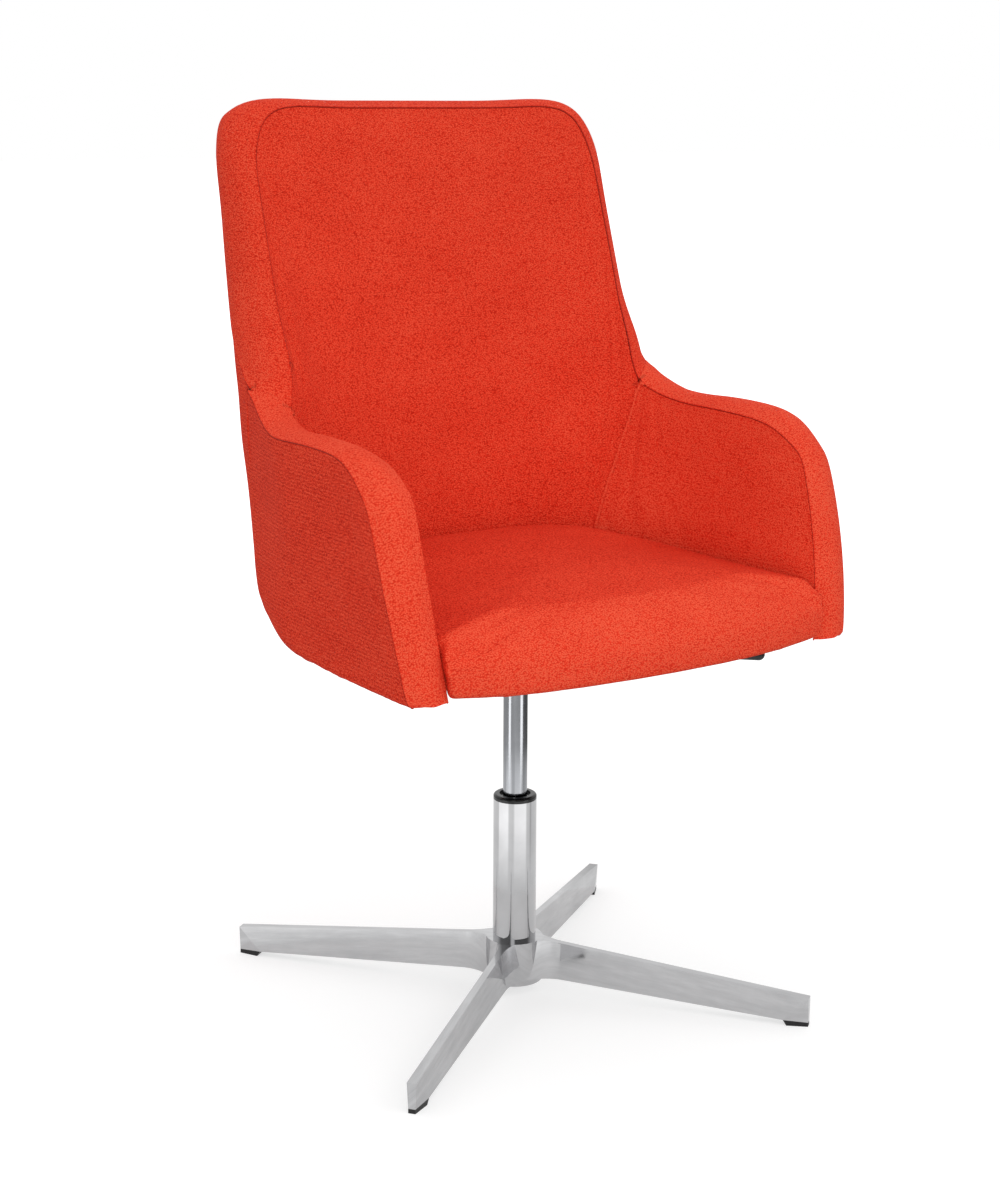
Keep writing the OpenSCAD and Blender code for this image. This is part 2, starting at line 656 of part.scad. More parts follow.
module taper_socket() {
    color("silver") translate([0, 0, socket_low]) difference() {
        cylinder(r = cylinder_r + socket_wall, h = socket_h);
        cylinder(r1 = cylinder_r, r2 = cylinder_r - taper_in, h = socket_h);
    }
}
head_h = 5;
module seat_bolts() {
    color("silver") for (x = [-1, 1], y = [-1, 1])
        translate([x * bolt_pitch / 2, y * bolt_pitch / 2, plate_z]) {
            translate([0, 0, -head_h]) cylinder(r = bolt_d * 0.8, h = head_h, $fn = 6);
            cylinder(d = bolt_d, h = plate_t + board_t - 2);
        }
}

// Base: four hollow legs round a hub, with a rounded web between each two
underside = 0.0536;
side_slope = 0.123;
leg_foot_half = leg_half + side_slope * (leg_end_h - pad_t);
flat_r = 35;
function below(u) = pad_t + (base_r - u) * underside;
web_mid = (hub_top + below(web_r)) / 2;
function half_width(z) = leg_foot_half - side_slope * (z - below(web_r));
web_axis = web_r + half_width(web_mid);
module roof(width, drop = 0) {
    rotate([90, 0, 0]) linear_extrude(width, center = true)
        polygon([[-base_r, -1], [base_r, -1], [base_r, leg_end_h - drop], [flat_r, hub_top - drop],
            [-flat_r, hub_top - drop], [-base_r, leg_end_h - drop]]);
}
// A bar with drafted sides along one leg, from u to v, with its lower half width
module bar(from, to, half) {
    translate([0, 0, below(0)]) rotate([0, atan(underside), 0]) translate([from, 0, 0])
        rotate([90, 0, 90]) linear_extrude(to - from)
            polygon([[-half, 0], [half, 0], [half - side_slope * hub_top, hub_top],
                [-half + side_slope * hub_top, hub_top]]);
}
tip_half = 4;
module tip_cut(side) {
    top = [base_r, side * leg_half, leg_end_h];
    inner = [base_r - pad_l, side * leg_foot_half, below(base_r - pad_l)];
    end = [base_r, side * tip_half, pad_t];
    outer = [base_r + 30, side * 40, pad_t - 20];
    points = [top + (top - inner) * 0.1 + (top - end) * 0.1, inner + (inner - top) * 0.3,
        end + (end - top) * 0.3, outer];
    turned = side > 0 ? [[0, 2, 1], [0, 1, 3], [1, 2, 3], [2, 0, 3]]
        : [[0, 1, 2], [0, 3, 1], [1, 3, 2], [2, 3, 0]];
    polyhedron(points, turned);
}
pocket_ends = [flat_r + 16, 130, 134, 222, 226, base_r - pad_l - 4];
hub_low = pad_t + 9;
pad_in = base_r - pad_l;
stem_u = base_r - pad_l * 0.55;
stem_l = 12;
module star_base() {
    core_low = below(web_axis);
    cone_low = core_low - 2;
    color(polished) rotate(45 + base_turn) difference() {
        union() {
            for (a = [0 : 90 : 270]) rotate(a) intersection() {
                bar(0, base_r * 1.05, leg_foot_half);
                roof(4 * leg_foot_half);
            }
            intersection() {
                difference() {
                    translate([-web_axis, -web_axis, core_low])
                        cube([2 * web_axis, 2 * web_axis, hub_top]);
                    for (a = [0 : 90 : 270]) rotate(a) translate([web_axis, web_axis, cone_low])
                        cylinder(r1 = web_axis - half_width(cone_low),
                            r2 = web_axis - half_width(hub_top + 1), h = hub_top + 1 - cone_low, $fn = 96);
                }
                roof(4 * web_axis);
                rotate(90) roof(4 * web_axis);
            }
            translate([0, 0, hub_low]) cylinder(r = tube_r + 8, h = hub_top - hub_low);
        }
        translate([0, 0, -1]) cylinder(r = tube_r, h = hub_top + 2);
        for (a = [0 : 90 : 270]) rotate(a) {
            for (k = [0, 2, 4]) intersection() {
                translate([0, 0, -1]) bar(pocket_ends[k], pocket_ends[k + 1], leg_foot_half - cast_wall);
                roof(4 * leg_foot_half, cast_wall);
            }
            translate([stem_u, 0, 0]) cylinder(r = stem_d / 2, h = below(stem_u) + stem_l);
            tip_cut(1);
            tip_cut(-1);
        }
    }
}
module foot_pad(k) {
    color("black") rotate(45 + base_turn + 90 * k) {
        intersection() {
            linear_extrude(3 * pad_t)
                polygon([[pad_in, -leg_foot_half], [base_r, -tip_half], [base_r, tip_half],
                    [pad_in, leg_foot_half]]);
            rotate([90, 0, 0]) linear_extrude(3 * leg_foot_half, center = true)
                polygon([[pad_in + 4, 0], [base_r, 0], [base_r, pad_t], [pad_in, below(pad_in)]]);
        }
        translate([stem_u, 0, pad_t / 2])
            cylinder(r = stem_d / 2, h = below(stem_u) + stem_l - pad_t / 2 - 0.5);
    }
}
module foot_pad_1() { foot_pad(2); }
module foot_pad_2() { foot_pad(3); }
module foot_pad_3() { foot_pad(0); }
module foot_pad_4() { foot_pad(1); }

star_base();
foot_pad_1();
foot_pad_2();
foot_pad_3();
foot_pad_4();
column_tube();
guide_bush();
bearing_lower();
bearing_balls();
bearing_upper();
rod_clip();
bump_ring();
piston_rod();
piston();
gas_cylinder();
rod_guide();
release_pin();
seat_plate();
taper_socket();
lever_bracket();
seat_bolts();
release_lever();
lever_grip();
seat_board();
dust_cover();
shell_ply();
outside_back();
outside_arm_left();
outside_arm_right();
border_back_roll();
border_arm_left();
border_arm_right();
inside_back();
inside_arm_left();
inside_arm_right();
seat_cushion();
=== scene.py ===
import json
import math

import bmesh
import bpy
import numpy as np
from mathutils import Matrix, Vector, noise
from mathutils.bvhtree import BVHTree
from mathutils.kdtree import KDTree


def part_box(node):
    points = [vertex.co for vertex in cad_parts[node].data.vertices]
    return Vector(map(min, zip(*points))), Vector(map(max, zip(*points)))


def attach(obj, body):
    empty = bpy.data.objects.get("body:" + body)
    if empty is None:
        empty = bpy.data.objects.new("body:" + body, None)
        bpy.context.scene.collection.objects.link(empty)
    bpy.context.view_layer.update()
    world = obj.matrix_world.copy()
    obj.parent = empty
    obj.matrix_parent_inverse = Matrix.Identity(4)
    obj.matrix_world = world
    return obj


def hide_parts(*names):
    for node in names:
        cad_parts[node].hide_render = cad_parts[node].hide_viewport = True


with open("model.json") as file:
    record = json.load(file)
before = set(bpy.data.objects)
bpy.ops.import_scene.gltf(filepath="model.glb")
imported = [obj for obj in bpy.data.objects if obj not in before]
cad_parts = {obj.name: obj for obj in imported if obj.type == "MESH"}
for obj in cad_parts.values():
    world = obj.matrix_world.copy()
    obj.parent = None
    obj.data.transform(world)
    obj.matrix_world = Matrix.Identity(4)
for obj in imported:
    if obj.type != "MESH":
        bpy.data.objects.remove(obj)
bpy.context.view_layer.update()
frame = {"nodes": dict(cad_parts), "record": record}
nodes = frame["nodes"]
scene = bpy.context.scene

# The photograph's height in pixels, and its camera
PHOTO_H = 1200
FOCAL_PX = 2206.4
CAMERA_AT = Vector((-1.3655, -2.0164, 1.0275))
CAMERA_BACK = Vector((-0.5404, -0.8111, 0.2238))
CAMERA_ROLL = math.radians(0.25)
SENSOR_MM = 36.0

MM = 0.001


# Camera


def add_camera():
    data = bpy.data.cameras.new("camera")
    data.sensor_fit = "VERTICAL"
    data.sensor_height = SENSOR_MM
    data.lens = SENSOR_MM * FOCAL_PX / PHOTO_H
    data.clip_end = 50
    camera = bpy.data.objects.new("camera", data)
    turn = CAMERA_BACK.to_track_quat("Z", "Y").to_matrix().to_4x4()
    camera.matrix_world = Matrix.Translation(CAMERA_AT) @ turn @ Matrix.Rotation(CAMERA_ROLL, 4, "Z")
    scene.collection.objects.link(camera)
    scene.camera = camera


# Materials


class Shader:
    """A material's node tree with short calls to add and link nodes."""

    def __init__(self, name):
        self.material = bpy.data.materials.new(name)
        self.material.use_nodes = True
        self.tree = self.material.node_tree
        self.surface = self.tree.nodes["Principled BSDF"]

    def add(self, kind, **settings):
        node = self.tree.nodes.new(kind)
        for key, value in settings.items():
            setattr(node, key, value)
        return node

    def link(self, output, socket):
        self.tree.links.new(output, socket)

    def value(self, node, socket, value):
        node.inputs[socket].default_value = value

    def set(self, **values):
        for key, value in values.items():
            self.surface.inputs[key.replace("_", " ")].default_value = value

    def place(self, scale=(1, 1, 1)):
        coordinates = self.add("ShaderNodeTexCoord")
        mapping = self.add("ShaderNodeMapping")
        self.value(mapping, "Scale", scale)
        self.link(coordinates.outputs["Object"], mapping.inputs["Vector"])
        return mapping.outputs["Vector"]

    def noise(self, place, scale, detail=2.0, roughness=0.5):
        node = self.add("ShaderNodeTexNoise")
        self.link(place, node.inputs["Vector"])
        self.value(node, "Scale", scale)
        self.value(node, "Detail", detail)
        self.value(node, "Roughness", roughness)
        return node.outputs["Fac"]

    def cells(self, place, scale):
        node = self.add("ShaderNodeTexVoronoi")
        self.link(place, node.inputs["Vector"])
        self.value(node, "Scale", scale)
        return node.outputs["Distance"]

    def math(self, operation, a, b=None):
        node = self.add("ShaderNodeMath", operation=operation)
        for socket, item in zip(node.inputs, (a, b)):
            if item is None:
                continue
            if isinstance(item, (int, float)):
                socket.default_value = item
            else:
                self.link(item, socket)
        return node.outputs[0]

    def span(self, value, low, high, to_low=0.0, to_high=1.0):
        node = self.add("ShaderNodeMapRange")
        self.link(value, node.inputs["Value"])
        for key, number in (("From Min", low), ("From Max", high), ("To Min", to_low), ("To Max", to_high)):
            self.value(node, key, number)
        return node.outputs["Result"]

    def ramp(self, value, stops):
        node = self.add("ShaderNodeValToRGB")
        elements = node.color_ramp.elements
        while len(elements) < len(stops):
            elements.new(0.5)
        for element, (position, color) in zip(elements, stops):
            element.position = position
            element.color = (*color, 1)
        self.link(value, node.inputs["Fac"])
        return node.outputs["Color"]

    def attribute(self, name, output="Fac"):
        node = self.add("ShaderNodeAttribute")
        node.attribute_name = name
        return node.outputs[output]

    def joined(self, x, y):
        node = self.add("ShaderNodeCombineXYZ")
        self.link(x, node.inputs["X"])
        self.link(y, node.inputs["Y"])
        return node.outputs["Vector"]

    def bump(self, height, strength, distance):
        node = self.add("ShaderNodeBump")
        self.link(height, node.inputs["Height"])
        self.value(node, "Strength", strength)
        self.value(node, "Distance", distance)
        self.link(node.outputs["Normal"], self.surface.inputs["Normal"])


def srgb(text):
    """Linear colour of a hexadecimal screen colour."""
    parts = [int(text[i:i + 2], 16) / 255 for i in (0, 2, 4)]
    return tuple(c / 12.92 if c <= 0.04045 else ((c + 0.055) / 1.055) ** 2.4 for c in parts)


# Cloth: crepe wool with pebbled grains, which line up in short ribs across some panels
GRAIN = 1.9 * MM
RIB_PITCH = 4.2 * MM
CLOTH_DEEP = srgb("BC2110")
CLOTH_MAIN = srgb("EA3D26")
CLOTH_PEAK = srgb("F86244")
# How far beside a seam its allowance shows through the cloth
ALLOWANCE = 10 * MM
# The cloth's tone: shares of its relief and of slow patches, and the painted shade that darkens it in a
# seam
RELIEF_TONE = 0.5
PATCH_TONE = 0.15
SEAM_SHADE = 0.2


def wool():
    s = Shader("orange_wool")
    place = s.attribute("weave", "Vector")
    rows = s.attribute("rows")
    seam = s.attribute("seam")
    along = s.attribute("along")

    bend = s.noise(place, 1 / (4 * GRAIN))
    turns = s.math("ADD", s.math("MULTIPLY", rows, 1 / RIB_PITCH), s.math("MULTIPLY", bend, 1.3))
    ribs = s.math("MULTIPLY", s.math("SINE", s.math("MULTIPLY", turns, 2 * math.pi)), s.attribute("ribs"))
    pebbles = s.math("SUBTRACT", 1.0, s.span(s.cells(place, 1 / GRAIN), 0.1, 0.85))
    fibres = s.noise(place, 3 / GRAIN, 3.0, 0.6)
    weave = s.math("ADD", s.math("ADD", pebbles, ribs), s.math("MULTIPLY", fibres, 0.3))

    beside = s.span(seam, 1.5 * MM, 15 * MM, 1.0, 0.0)
    puckers = s.noise(s.joined(along, s.math("MULTIPLY", seam, 0.18)), 120.0)
    puckers = s.math("MULTIPLY", s.math("MULTIPLY", puckers, beside), 1.6)
    places = s.span(s.noise(s.joined(along, along), 7.0, 1.0), 0.45, 0.6)
    ridge = s.math("MULTIPLY", s.span(seam, ALLOWANCE, ALLOWANCE + 1.5 * MM, 0.9, 0.0), places)
    relief = s.math("ADD", s.math("ADD", weave, puckers), ridge)

    patches = s.noise(place, 11.0, 3.0)
    tone = s.math("ADD", s.math("MULTIPLY", weave, RELIEF_TONE), s.math("MULTIPLY", patches, PATCH_TONE))
    # Painted shade: the tone is darkened in the first millimetres beside a seam
    tone = s.math("SUBTRACT", tone, s.span(seam, 0.4 * MM, 1.8 * MM, SEAM_SHADE, 0.0))
    # Painted light: the tone is lifted per panel, and on the cushion's front, where more light falls
    tone = s.math("ADD", tone, s.attribute("painted_light"))
    color = s.ramp(tone, [(0.14, CLOTH_DEEP), (0.42, CLOTH_MAIN), (0.67, CLOTH_PEAK)])
    s.link(color, s.surface.inputs["Base Color"])
    s.set(Roughness=0.9, Sheen_Weight=0.06, Sheen_Roughness=0.5, Specular_IOR_Level=0.1)
    s.set(Sheen_Tint=(*CLOTH_PEAK, 1))
    s.bump(relief, 0.85, 0.8 * MM)
    return s.material


# The stitching thread is dark red: partly its own colour, partly painted shade that darkens the seam's
# groove
def thread():
    s = Shader("seam_thread_and_shade")
    twist = s.noise(s.place(), 900.0, 1.0)
    s.link(s.ramp(twist, [(0.3, srgb("94180B")), (0.8, srgb("C4301C"))]), s.surface.inputs["Base Color"])
    s.set(Roughness=0.85)
    s.bump(twist, 0.4, 0.2 * MM)
    return s.material


def along_legs(s):
    """A place that changes slowly along each of the base's legs, which stand on the diagonals."""
    mapping = s.add("ShaderNodeMapping")
    s.value(mapping, "Rotation", (0, 0, math.radians(45)))
    s.link(s.place(), mapping.inputs["Vector"])
    parts = s.add("ShaderNodeSeparateXYZ")
    s.link(mapping.outputs["Vector"], parts.inputs["Vector"])
    x = s.math("ABSOLUTE", parts.outputs["X"])
    y = s.math("ABSOLUTE", parts.outputs["Y"])
    lengthwise = s.math("MULTIPLY", s.math("MAXIMUM", x, y), 0.12)
    across = s.math("ADD", s.math("MINIMUM", x, y), parts.outputs["Z"])
    return s.joined(lengthwise, across)


def polished_aluminium():
    """Hand-polished casting: streaks along the legs in tone, gloss and waviness."""
    s = Shader("polished_aluminium")
    place = along_legs(s)
    streaks = s.noise(place, 110.0, 4.0, 0.65)
    clouds = s.noise(s.place(), 14.0, 3.0, 0.6)
    both = s.math("ADD", s.math("MULTIPLY", streaks, 0.6), s.math("MULTIPLY", clouds, 0.4))
    s.link(s.ramp(both, [(0.36, (0.54, 0.54, 0.55)), (0.5, (0.6, 0.6, 0.61)), (0.64, (0.67, 0.67, 0.68))]),
           s.surface.inputs["Base Color"])
    s.link(s.span(both, 0.35, 0.65, 0.11, 0.04), s.surface.inputs["Roughness"])
    s.set(Metallic=1.0)
    s.bump(s.math("ADD", clouds, s.math("MULTIPLY", streaks, 0.1)), 0.25, 0.5 * MM)
    return s.material


def metal(name, color, roughness, grain_scale, stretch=(1, 1, 1), bump=0.02):
    """Polished metal with faint polishing marks, cloudy gloss and a slightly uneven tint."""
    s = Shader(name)
    grain = s.noise(s.place(stretch), grain_scale, 3.0, 0.6)
    clouds = s.noise(s.place(), 22.0, 3.0, 0.6)
    gloss = s.math("ADD", s.math("MULTIPLY", grain, 0.5), s.math("MULTIPLY", clouds, 0.5))
    s.link(s.span(gloss, 0.3, 0.7, roughness * 0.6, roughness * 1.5), s.surface.inputs["Roughness"])
    low = tuple(c * 0.9 for c in color)
    s.link(s.ramp(clouds, [(0.35, low), (0.65, color)]), s.surface.inputs["Base Color"])
    s.set(Metallic=1.0)
    s.bump(grain, bump, 0.2 * MM)
    return s.material


def plastic(name, color, roughness, grain=600.0, bump=0.15):
    s = Shader(name)
    pits = s.noise(s.place(), grain)
    low = tuple(c * 0.7 for c in color)
    s.link(s.ramp(pits, [(0.35, low), (0.65, color)]), s.surface.inputs["Base Color"])
    s.set(Roughness=roughness)
    s.bump(pits, bump, 0.1 * MM)
    return s.material


def plywood():
    s = Shader("raw_plywood")
    grain = s.noise(s.place((1, 12, 60)), 6.0, 4.0, 0.6)
    s.link(s.ramp(grain, [(0.25, srgb("A87F52")), (0.75, srgb("D9B98A"))]), s.surface.inputs["Base Color"])
    s.set(Roughness=0.75)
    s.bump(grain, 0.2, 0.2 * MM)
    return s.material


def dust_cloth():
    s = Shader("dust_cloth")
    fibres = s.noise(s.place(), 350.0, 4.0, 0.7)
    s.link(s.ramp(fibres, [(0.3, srgb("0E0E0F")), (0.75, srgb("2A2A2C"))]), s.surface.inputs["Base Color"])
    s.set(Roughness=0.95)
    s.bump(fibres, 0.4, 0.3 * MM)
    return s.material


CLOTH = wool()
THREAD_AND_SHADE = thread()
LOOKS = {
    "polished_aluminium": polished_aluminium(),
    "chromed_tube": metal("chromed_tube", (0.62, 0.62, 0.63), 0.06, 60.0, (1, 1, 0.1)),
    "satin_chrome": metal("satin_chrome", (0.42, 0.43, 0.45), 0.14, 90.0, (1, 1, 0.05)),
    "steel": metal("machined_steel", (0.45, 0.45, 0.47), 0.32, 120.0, (1, 1, 8)),
    "black_steel": plastic("black_powder_coat", srgb("1B1B1C"), 0.5, 900.0, 0.3),
    "bush_plastic": plastic("black_bush", srgb("101011"), 0.18, 200.0, 0.03),
    "pad_plastic": plastic("black_pad", srgb("151516"), 0.4, 500.0, 0.15),
    "rubber": plastic("rubber", srgb("1A1A1A"), 0.7),
    "plywood": plywood(),
    "dust_cloth": dust_cloth(),
    "cloth": CLOTH,
}


def dress_frame():
    """Gives every CAD node the material of its slot."""
    slots = {part["node"]: part["material_slot"] for part in frame["record"]["subparts"]}
    for name, node in nodes.items():
        node.data.materials.clear()
        node.data.materials.append(LOOKS[slots[name]])


# Meshes
SHARP = math.radians(50)


def solid_of(node, whole_quads=True):
    """The node's solid as a bmesh, with its triangles joined to quads if asked."""
    shape = bmesh.new()
    shape.from_mesh(nodes[node].data)
    bmesh.ops.remove_doubles(shape, verts=shape.verts, dist=0.01 * MM)
    if whole_quads:
        bmesh.ops.join_triangles(
            shape, faces=shape.faces, cmp_seam=False, cmp_sharp=False, cmp_uvs=False, cmp_vcols=False,
            cmp_materials=False, angle_face_threshold=SHARP, angle_shape_threshold=math.pi)
    bmesh.ops.recalc_face_normals(shape, faces=shape.faces)
    return shape


def sharp_edges(shape, angle=SHARP):
    return [e for e in shape.edges if len(e.link_faces) == 2 and e.calc_face_angle(0) > angle]


def new_object(name, mesh, material):
    mesh.materials.clear()
    mesh.materials.append(material)
    mesh.shade_smooth()
    piece = bpy.data.objects.new(name, mesh)
    scene.collection.objects.link(piece)
    return piece


def object_of(name, shape, material):
    mesh = bpy.data.meshes.new(name)
    shape.to_mesh(mesh)
    shape.free()
    return new_object(name, mesh, material)


def object_from(name, points, faces, material):
    mesh = bpy.data.meshes.new(name)
    mesh.from_pydata(points, [], faces)
    mesh.validate()
    return new_object(name, mesh, material)


def apply_all(piece):
    """Replaces a piece's mesh by the one its modifiers make."""
    depsgraph = bpy.context.evaluated_depsgraph_get()
    mesh = bpy.data.meshes.new_from_object(piece.evaluated_get(depsgraph))
    piece.modifiers.clear()
    piece.data = mesh


def modify(piece, kind, **settings):
    modifier = piece.modifiers.new(kind.lower(), kind)
    for key, value in settings.items():
        setattr(modifier, key, value)
    apply_all(piece)


def subdivide(piece, levels):
    modify(piece, "SUBSURF", levels=levels, render_levels=levels)


def points_of(mesh):
    flat = np.empty(len(mesh.vertices) * 3, dtype=np.float32)
    mesh.vertices.foreach_get("co", flat)
    return flat.reshape(-1, 3)


def normals_of(mesh):
    flat = np.empty(len(mesh.vertices) * 3, dtype=np.float32)
    mesh.vertex_normals.foreach_get("vector", flat)
    return flat.reshape(-1, 3)


def move_points(mesh, points):
    mesh.vertices.foreach_set("co", np.ascontiguousarray(points, dtype=np.float32).ravel())
    mesh.update()


def tree_of(meshes):
    """A search tree of the surfaces of some meshes."""
    points, faces = [], []
    for mesh in meshes:
        first = len(points)
        points.extend(v.co.copy() for v in mesh.vertices)
        faces.extend([first + i for i in polygon.vertices] for polygon in mesh.polygons)
    return BVHTree.FromPolygons(points, faces)


# Where the arms meet the back, the padding fills the corner of the shell's edge a little more than
# the solids do: middle of the fill on the right side, its shift and its reach
FILL_MIDDLE = Vector((0.250, 0.122, 0.722))
FILL_SHIFT = Vector((0, -0.0085, 0.005))
FILL_REACH = 85 * MM
# Low down, the seam between the inside back and an arm lies nearer the middle than the solids' does:
# the solids' seam at the low and the high end, how far it slides, its reach, and the heights between
# which that fades
SLIDE_FROM = Vector((0.183, 0.080))
SLIDE_TO = Vector((0.235, 0.090))
SLIDE_SHIFT = Vector((-0.023, 0.0095, 0))
SLIDE_REACH = 120 * MM
SLIDE_HEIGHTS = (0.50, 0.69)


def faded(share):
    """Falls smoothly from 1 at no share to 0 at a full share."""
    share = min(max(share, 0), 1)
    return (1 - share) * (1 - share) * (1 + 2 * share)


def fitted(point):
    """A point of the upholstery after these two shifts, which are the same on both sides."""
    side = -1 if point[0] < 0 else 1
    here = Vector((abs(point[0]), point[1], point[2]))
    low, high = SLIDE_HEIGHTS
    rise = min(max((here.z - low) / (high - low), 0), 1)
    near_seam = SLIDE_FROM.lerp(SLIDE_TO, rise)
    slide = faded(rise) * faded((here.xy - near_seam).length / SLIDE_REACH)
    here += FILL_SHIFT * faded((here - FILL_MIDDLE).length / FILL_REACH) + SLIDE_SHIFT * slide
    return Vector((side * here.x, here.y, here.z))


def fit_corners(piece):
    move_points(piece.data, [fitted(p) for p in points_of(piece.data)])


# Seams: they run along the corners of the border's flat sole
SOLE_ANGLE = math.radians(75)
SEAM_STEP = 1.2 * MM
STITCH = 3.6 * MM
CORD_RADIUS = 0.75 * MM
WELT_RADIUS = 1.9 * MM
# A welt stands this far out of the pads
WELT_RISE = 1.1 * MM
# The cloth turns down into a border's seam by this depth, from this far beside it
TURN_DEPTH = 2.6 * MM
TURN_REACH = 24 * MM
BORDERS = ("border_arm_left", "border_back_roll", "border_arm_right")


def chains(edges):
    """The runs that the edges make, each as a list of points in order."""
    links = {}
    for edge in edges:
        for vert in edge.verts:
            links.setdefault(vert, []).append(edge)
    left = set(edges)
    runs = []
    for vert in sorted((v for v in links if len(links[v]) == 1), key=lambda v: v.index):
        run = [vert]
        while True:
            edge = next((e for e in links[run[-1]] if e in left), None)
            if edge is None:
                break
            left.discard(edge)
            run.append(edge.other_vert(run[-1]))
        if len(run) > 1:
            runs.append([v.co.copy() for v in run])
    return runs


def end_caps(shape):
    """Faces of the flat ends, which meet in a point inside a flat face."""
    middles = [
        v for v in shape.verts
        if all(f.normal.dot(v.link_faces[0].normal) > 0.9999 for f in v.link_faces)]
    return {f for v in middles for f in v.link_faces}


def spline(points, step):
    """Even points on the smooth curve that subdivision makes of a run of points."""
    run = [2 * points[0] - points[1]] + points + [2 * points[-1] - points[-2]]
    fine = []
    for i in range(len(points) - 1):
        a, b, c, d = run[i:i + 4]
        count = max(2, round((c - b).length / step))
        for k in range(count):
            t = k / count
            fine.append((
                a * (1 - t) ** 3 + b * (3 * t ** 3 - 6 * t ** 2 + 4)
                + c * (-3 * t ** 3 + 3 * t ** 2 + 3 * t + 1) + d * t ** 3) / 6)
    fine.append(points[-1].copy())
    return fine


def border_seams(name):
    """The two long seams of a border."""
    shape = solid_of(name, whole_quads=False)
    shape.verts.index_update()
    caps = end_caps(shape)
    corners = [e for e in sharp_edges(shape, SOLE_ANGLE) if not caps & set(e.link_faces)]
    long_runs = sorted(chains(corners), key=len)[-2:]
    shape.free()
    return long_runs


def tube(line, radius_at, sides=6):
    """Points and faces of a round skin along a line."""
    points, faces = [], []
    side = Vector((0, 0, 1))
    for i, middle in enumerate(line):
        ahead = (line[min(i + 1, len(line) - 1)] - line[max(i - 1, 0)]).normalized()
        side = (side - ahead * side.dot(ahead)).normalized()
        other = ahead.cross(side)
        for k in range(sides):
            turn = 2 * math.pi * k / sides
            points.append(middle + (side * math.cos(turn) + other * math.sin(turn)) * radius_at(i))
    for i in range(len(line) - 1):
        for k in range(sides):
            a, b = i * sides + k, i * sides + (k + 1) % sides
            faces.append((a, b, b + sides, a + sides))
    return points, faces


def tubes(name, lines, radius_at, material):
    """One piece of several tubes that rides on the seat."""
    points, faces = [], []
    for line in lines:
        more, skin = tube(line, radius_at)
        faces.extend(tuple(len(points) + i for i in face) for face in skin)
        points.extend(more)
    piece = object_from(name, points, faces, material)
    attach(piece, "seat")
    return piece


def into_body(line, across, solid):
    """Directions from a border's seam into the padding, between its sole and the panel beside it."""
    found = []
    for i, point in enumerate(line):
        ahead = (line[min(i + 1, len(line) - 1)] - line[max(i - 1, 0)]).normalized()
        rolled = Vector((0, 0, 0))
        for place, _, _ in solid.find_n(point, 16):
            rolled += place - point
        for known in (ahead, across[i]):
            rolled -= known * rolled.dot(known)
        found.append((across[i] - rolled.normalized()).normalized())
    return found


def find_seams():
    """The borders' seam curves, drawn a little under the cloth, and their directions into the body."""
    found, inward = [], []
    for name in BORDERS:
        vertices = nodes[name].data.vertices
        solid = KDTree(len(vertices))
        for vertex in vertices:
            solid.insert(vertex.co, vertex.index)
        solid.balance()
        first, second = border_seams(name)
        for run, other in ((first, second), (second, first)):
            run, other = spline(run, SEAM_STEP), spline(other, 8 * SEAM_STEP)
            across = [(min(other, key=lambda q: (q - p).length_squared) - p).normalized() for p in run]
            found.append([fitted(p + a * CORD_RADIUS) for p, a in zip(run, across)])
            inward.append(into_body(run, across, solid))
    return found, inward


SEAMS, INWARD = find_seams()


def welt_line(side):
    """The corner between the inside back and an inside arm on the sitter's side, half sunk in the pads."""
    shape = solid_of("inside_arm_" + side, whole_quads=False)
    shape.verts.index_update()
    runs = chains([
        e for e in sharp_edges(shape)
        if min(v.co.y for v in e.verts) > 0 and abs((e.verts[0].co - e.verts[1].co).normalized().z) > 0.5])
    shape.free()
    run = min(runs, key=lambda run: sum(p.xy.length for p in run) / len(run))
    pads = tree_of([bpy.data.objects[name].data for name in ("inside_back_pad", "inside_arm_pad_" + side)])
    found = [pads.find_nearest(fitted(p))[:2] for p in spline(run, 2 * SEAM_STEP)]
    toward_sitter = Vector((-1 if side == "right" else 1, -1.2, 0)).normalized()
    return [place + toward_sitter * WELT_RISE for place, _ in found]


def sew():
    """The borders' stitches, and the welts of the inside corners, which need the finished pads."""
    per_stitch = STITCH / SEAM_STEP

    def beaded(i):
        return CORD_RADIUS * (0.75 + 0.35 * abs(math.sin(math.pi * i / per_stitch)))

    sunk = [[p + d * TURN_DEPTH for p, d in zip(*pair)] for pair in zip(SEAMS, INWARD)]
    tubes("seam_stitches", sunk, beaded, THREAD_AND_SHADE)
    welts = [welt_line(side) for side in ("left", "right")]
    # Painted highlight: the welts' cloth tone is lifted, as their raised line catches the light
    piece = tubes("inside_welts", welts, lambda i: WELT_RADIUS, CLOTH)
    weave(piece, (0, 0, 1), 0.0, 0.2)


def seam_tree():
    """A search tree of the seams' points, and how far along its seam each one lies."""
    tree = KDTree(sum(len(line) for line in SEAMS))
    lengths = []
    for line in SEAMS:
        run = 0.0
        for i, point in enumerate(line):
            run += (point - line[max(i - 1, 0)]).length
            tree.insert(point, len(lengths))
            lengths.append(run)
    tree.balance()
    return tree, lengths


SEAM_TREE, SEAM_LENGTHS = seam_tree()
SEAM_INWARD = [direction for line in INWARD for direction in line]


def turn_into_seams(piece):
    points = points_of(piece.data)
    for point in points:
        _, index, away = SEAM_TREE.find(point)
        point += np.array(SEAM_INWARD[index] * (TURN_DEPTH * faded(away / TURN_REACH)))
    move_points(piece.data, points)


def add_values(mesh, name, kind, key, values):
    attribute = mesh.attributes.new(name, kind, "POINT")
    attribute.data.foreach_set(key, np.ascontiguousarray(values, dtype=np.float32).ravel())


